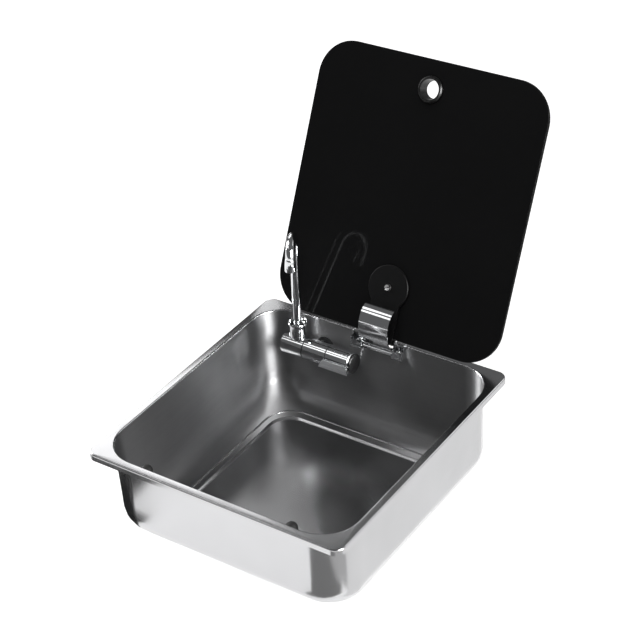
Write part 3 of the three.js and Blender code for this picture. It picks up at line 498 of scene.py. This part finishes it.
def black_powder_coat():
    """The lid's arm and clamp disc, with the fine orange peel of a sprayed coat."""
    paint, nodes, links, body = new_paint("black_powder_coat", (0.022, 0.022, 0.0225), 0, 0.3)
    body.inputs["Specular IOR Level"].default_value = 0.1
    peel = add_noise(nodes, links, 700, detail=2)
    vary_roughness(nodes, links, peel, 0.3, 0.42, body)
    press_bump(nodes, links, peel, 0.15, 0.0002, body)
    return paint


def moulded_black():
    paint, nodes, links, body = new_paint("moulded_black", (0.012, 0.012, 0.012), 0, 0.32)
    grain = add_noise(nodes, links, 500, detail=2)
    vary_roughness(nodes, links, grain, 0.26, 0.4, body)
    press_bump(nodes, links, grain, 0.1, 0.0002, body)
    return paint


def black_soft_rubber():
    paint, nodes, links, body = new_paint("black_soft_rubber", (0.015, 0.015, 0.015), 0, 0.65)
    grain = add_noise(nodes, links, 800)
    vary_colour(nodes, links, grain, (0.01, 0.01, 0.01), (0.022, 0.022, 0.022), body)
    vary_roughness(nodes, links, grain, 0.55, 0.78, body)
    press_bump(nodes, links, grain, 0.2, 0.0002, body)
    return paint


# ---- dressing the nodes ----
def body_of(node):
    for name, nodes in frame["record"]["behaviour"]["bodies"].items():
        if node in nodes:
            return name
    return "sink"


def slot_of(node):
    for entry in frame["record"]["subparts"]:
        if entry["node"] == node:
            return entry["material_slot"]
    return "bowl_steel"


def smooth_copy(node, paint, body, edge):
    """The node's own shape as one smooth-shaded mesh, with a fine edge round its corners."""
    mesh = frame["nodes"][node].data.copy()
    piece = bpy.data.objects.new(node + "_shown", mesh)
    bpy.context.scene.collection.objects.link(piece)
    work = bmesh.new()
    work.from_mesh(mesh)
    bmesh.ops.remove_doubles(work, verts=work.verts, dist=NODE_MERGE)
    work.to_mesh(mesh)
    work.free()
    mesh.materials.clear()
    mesh.materials.append(paint)
    bpy.ops.object.select_all(action="DESELECT")
    piece.select_set(True)
    bpy.context.view_layer.objects.active = piece
    if edge > 0:
        bevel = piece.modifiers.new("edge", "BEVEL")
        bevel.width = edge
        bevel.segments = EDGE_STEPS
        bevel.limit_method = "ANGLE"
        bevel.angle_limit = EDGE_ANGLE
        bpy.ops.object.modifier_apply(modifier=bevel.name)
    bpy.ops.object.shade_smooth_by_angle(angle=SMOOTH_ANGLE)
    weight = piece.modifiers.new("weight", "WEIGHTED_NORMAL")
    weight.keep_sharp = True
    weight.weight = NORMAL_WEIGHT
    bpy.ops.object.modifier_apply(modifier=weight.name)
    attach(piece, body)
    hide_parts(node)
    return piece


def correct_normals(piece, rule):
    """Gives each corner of the mesh the normal that the rule finds for it, if it finds one."""
    mesh = piece.data
    normals = [corner.vector.copy() for corner in mesh.corner_normals]
    for face in mesh.polygons:
        for corner in face.loop_indices:
            place = mesh.vertices[mesh.loops[corner].vertex_index].co
            found = rule(face, place)
            if found is not None:
                normals[corner] = found
    mesh.normals_split_custom_set(normals)


def on_curve(face, place, outward, lie_at_least):
    """The curve's normal at the place, if the face lies along the curve; turned round inside it."""
    lie = face.normal.dot(outward(face.center))
    if lie > lie_at_least:
        return outward(place)
    if lie < -lie_at_least:
        return -outward(place)
    return None


def barrel_curve(face, place):
    """Rule for the faces that lie round the tap's axis."""
    along = Vector((1, 0, 0))
    start = Vector(TAP_AXIS)

    def outward(point):
        reach = point - start
        return (reach - along * reach.dot(along)).normalized()

    if abs(face.normal.dot(along)) > BARREL_END:
        return None
    return on_curve(face, place, outward, BARREL_LIE)


def link_curve(face, place):
    """Rule for the hinge link's curved strip, which follows half an ellipse."""

    def outward(point):
        along = (point.y - LINK_Y) / LINK_REACH ** 2
        rise = (point.z - LINK_Z) / LINK_HEIGHT ** 2
        return Vector((0, along, rise)).normalized()

    if abs(face.normal.x) > LINK_SIDE:
        return None
    return on_curve(face, place, outward, LINK_LIE)


def paint_slot_shade(piece, paint):
    """Paints the faces down in the screw's slot with the black coat, as painted shade in the slot."""
    piece.data.materials.append(paint)
    top_face = max(piece.data.polygons, key=lambda face: -face.normal.y * face.area)
    out = top_face.normal.copy()
    places = [vertex.co for vertex in piece.data.vertices]
    top = max(place.dot(out) for place in places)
    middle = sum(places, Vector()) / len(places)
    for face in piece.data.polygons:
        below = top - face.center.dot(out)
        reach = face.center - middle
        side = (reach - out * reach.dot(out)).length
        if SLOT_SHALLOW < below < SLOT_DEEP and side < SLOT_REACH:
            face.material_index = 1


def past_panel(x, y):
    """How far a point lies outside the floor panel's sloping border, less than 0 inside it."""
    across = max(abs(x) - PANEL_X + PANEL_CORNER, 0)
    along = max(abs(y) - PANEL_Y + PANEL_CORNER, 0)
    inner = min(max(abs(x) - PANEL_X, abs(y) - PANEL_Y) + PANEL_CORNER, 0)
    return math.hypot(across, along) + inner - PANEL_CORNER


def paint_inside(piece, wall_paint, panel_paint):
    """Gives the faces that look into the bowl the brushed finishes, which are painted dark as shade;
    the panel's sloping edge keeps the rim's brighter steel, without that painted shade.
    """
    piece.data.materials.append(wall_paint)
    piece.data.materials.append(panel_paint)
    for face in piece.data.polygons:
        centre = face.center
        if centre.z > INSIDE_TOP_Z:
            continue
        inwards = face.normal.x * centre.x + face.normal.y * centre.y < 0
        level = face.normal.z > LEVEL_FACE
        past = past_panel(centre.x, centre.y)
        if level and past < -PANEL_SLOPE:
            face.material_index = 2
        elif level and past < 0:
            face.material_index = 0
        elif inwards or level:
            face.material_index = 1


def dress_nodes(paints):
    own_paints = {"tap_knob_cap": polished_black(), "lid_screw": pale_steel()}
    for node in list(frame["nodes"]):
        if node in REMODELLED:
            continue
        slot = slot_of(node)
        paint = own_paints.get(node, paints[slot])
        shown = smooth_copy(node, paint, body_of(node), EDGES.get(node, 0))
        if node in ROUND_BARRELS:
            correct_normals(shown, barrel_curve)
        if node == "hinge_link":
            correct_normals(shown, link_curve)
        if node == "lid_screw":
            # The slot's faces are painted black as shade.
            paint_slot_shade(shown, paints["black_coat"])
        if node == "sink_bowl":
            # The inside gets darker copies of the bowl's steel, as painted shade.
            paint_inside(shown, brushed_steel_painted_shade(), brushed_floor_painted_shade())


# ---- pieces modelled here ----
def floor_bead(paint):
    """Low pressed bead round the floor: a rounded outline swept as a flat round bar."""
    bpy.ops.object.select_all(action="DESELECT")
    bpy.ops.mesh.primitive_plane_add(size=2, location=(0, 0, 0))
    bead = bpy.context.object
    bead.name = "floor_bead"
    bpy.ops.object.mode_set(mode="EDIT")
    bpy.ops.mesh.select_all(action="SELECT")
    bpy.ops.transform.resize(value=(BEAD_X, BEAD_Y, 1))
    bpy.ops.mesh.bevel(offset=BEAD_CORNER, segments=BEAD_CORNER_STEPS, affect="VERTICES")
    bpy.ops.mesh.select_all(action="SELECT")
    bpy.ops.mesh.delete(type="ONLY_FACE")
    bpy.ops.object.mode_set(mode="OBJECT")
    bpy.ops.object.convert(target="CURVE")
    bead.data.bevel_depth = BEAD_RADIUS
    bead.data.bevel_resolution = BEAD_ROUND_STEPS
    bpy.ops.object.convert(target="MESH")
    bead = bpy.context.object
    flat = Matrix.Diagonal((1, 1, BEAD_FLATNESS, 1))
    bead.data.transform(Matrix.Translation((0, 0, FLOOR_BORDER_Z)) @ flat)
    bead.data.materials.clear()
    bead.data.materials.append(paint)
    bpy.ops.object.shade_smooth()
    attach(bead, "sink")


def lip_point(along, turn):
    """A point of the knob's lip; along and turn run from 0 to 1, to the right and down the lip."""
    angle = math.radians(LIP_FROM + (LIP_TO - LIP_FROM) * turn)
    reach = TAP_RADIUS + LIP_PROUD + LIP_FLARE * turn ** 2
    left = LIP_LEFT + LIP_SLANT * (1 - turn)
    across = TAP_AXIS[1] + reach * math.cos(angle)
    height = TAP_AXIS[2] + reach * math.sin(angle)
    return left + (LIP_RIGHT - left) * along, across, height


def knob_lip(paint):
    """The knob's finger lip: a sheet curved round the knob that flares out to its lower edge."""
    bpy.ops.object.select_all(action="DESELECT")
    bpy.ops.mesh.primitive_grid_add(
        x_subdivisions=LIP_STEPS, y_subdivisions=LIP_STEPS, size=1, location=(0, 0, 0)
    )
    lip = bpy.context.object
    lip.name = "knob_lip"
    for vertex in lip.data.vertices:
        vertex.co = lip_point(vertex.co.x + 0.5, 0.5 - vertex.co.y)
    bpy.ops.object.mode_set(mode="EDIT")
    bpy.ops.mesh.select_all(action="SELECT")
    bpy.ops.mesh.normals_make_consistent(inside=False)
    bpy.ops.object.mode_set(mode="OBJECT")
    if sum(face.normal.y for face in lip.data.polygons) > 0:
        lip.data.flip_normals()
    wall = lip.modifiers.new("wall", "SOLIDIFY")
    wall.thickness = LIP_WALL
    wall.offset = -1
    bpy.ops.object.modifier_apply(modifier=wall.name)
    edge = lip.modifiers.new("edge", "BEVEL")
    edge.width = LIP_EDGE
    edge.segments = EDGE_STEPS
    edge.angle_limit = LIP_EDGE_ANGLE
    bpy.ops.object.modifier_apply(modifier=edge.name)
    lip.data.materials.append(paint)
    bpy.ops.object.shade_smooth_by_angle(angle=LIP_SMOOTH_ANGLE)
    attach(lip, body_of("tap_knob"))


def finish_chrome(piece, place, paint, body, node):
    """Closes a chrome piece that is still in edit mode, puts it in place and hands it over."""
    bpy.ops.mesh.select_all(action="SELECT")
    bpy.ops.mesh.remove_doubles(threshold=SEAM_MERGE)
    bpy.ops.mesh.normals_make_consistent(inside=False)
    bpy.ops.object.mode_set(mode="OBJECT")
    piece.data.transform(place)
    piece.data.materials.append(paint)
    bpy.ops.object.shade_smooth_by_angle(angle=ROUND_ANGLE)
    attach(piece, body)
    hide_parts(node)


def turned_piece(name, profile, sides, place, paint, body, node):
    """A ring-shaped piece: a circle drawn out and widened along a closed profile."""
    radius, height = profile[0]
    bpy.ops.object.select_all(action="DESELECT")
    bpy.ops.mesh.primitive_circle_add(vertices=sides, radius=radius * MM, location=(0, 0, 0))
    piece = bpy.context.object
    piece.name = name
    bpy.ops.object.mode_set(mode="EDIT")
    bpy.ops.mesh.select_all(action="SELECT")
    bpy.ops.transform.translate(value=(0, 0, height * MM))
    for next_radius, next_height in profile[1:]:
        rise = (0, 0, (next_height - height) * MM)
        widen = next_radius / radius
        bpy.ops.mesh.extrude_region_move(TRANSFORM_OT_translate={"value": rise})
        bpy.ops.transform.resize(
            value=(widen, widen, 1), center_override=(0, 0, next_height * MM)
        )
        radius, height = next_radius, next_height
    finish_chrome(piece, place, paint, body, node)


def bent_pipe(paint, place):
    """The spout: a round pipe drawn up, spun over its arch and drawn down into the outlet."""
    bpy.ops.object.select_all(action="DESELECT")
    bpy.ops.mesh.primitive_circle_add(
        vertices=PIPE_SIDES, radius=PIPE_RADIUS, fill_type="NGON", location=(0, 0, 0)
    )
    pipe = bpy.context.object
    pipe.name = "bent_pipe"
    bpy.ops.object.mode_set(mode="EDIT")
    bpy.ops.mesh.select_all(action="SELECT")
    bpy.ops.transform.translate(value=(0, 0, PIPE_FOOT))
    rise = (0, 0, ARCH_START - PIPE_FOOT)
    bpy.ops.mesh.extrude_region_move(TRANSFORM_OT_translate={"value": rise})
    arch_middle = (0, -ARCH_WIDTH / 2, ARCH_START)
    bpy.ops.mesh.spin(steps=ARCH_STEPS, angle=-math.pi, center=arch_middle, axis=(1, 0, 0))
    drop = (0, 0, PIPE_END - ARCH_START)
    bpy.ops.mesh.extrude_region_move(TRANSFORM_OT_translate={"value": drop})
    finish_chrome(pipe, place, paint, "spout", "spout_pipe")


def add_spout(chrome):
    """The collar, the pipe, which leans with it and is swung round, and the outlet."""
    tap = Matrix.Translation((0, TAP_AXIS[1], TAP_AXIS[2])) @ Matrix.Rotation(-SPOUT_LEAN, 4, "X")
    collar = tap @ Matrix.Translation((SPOUT_X, 0, 0))
    pipe = collar @ Matrix.Rotation(SPOUT_TURN, 4, "Z")
    nozzle = pipe @ Matrix.Translation((0, -ARCH_WIDTH, 0))
    turned_piece(
        "collar", COLLAR_PROFILE, COLLAR_SIDES, collar, chrome, "spout_mount", "spout_collar"
    )
    bent_pipe(chrome, pipe)
    turned_piece("nozzle", NOZZLE_PROFILE, NOZZLE_SIDES, nozzle, chrome, "spout", "spout_nozzle")


bpy.context.scene.view_settings.view_transform = "Standard"
add_camera()
add_world()
add_floor()
add_lights()
paints = {
    "bowl_steel": pressed_steel(),
    "plain_steel": turned_steel(),
    "chrome_plate": bright_chrome(),
    "black_glass": black_lid_glass(),
    "black_coat": black_powder_coat(),
    "black_plastic": moulded_black(),
    "black_rubber": black_soft_rubber(),
}
dress_nodes(paints)
floor_bead(paints["bowl_steel"])
# The lip's pale colour is a painted sheen.
knob_lip(satin_chrome_painted_sheen())
add_spout(paints["chrome_plate"])
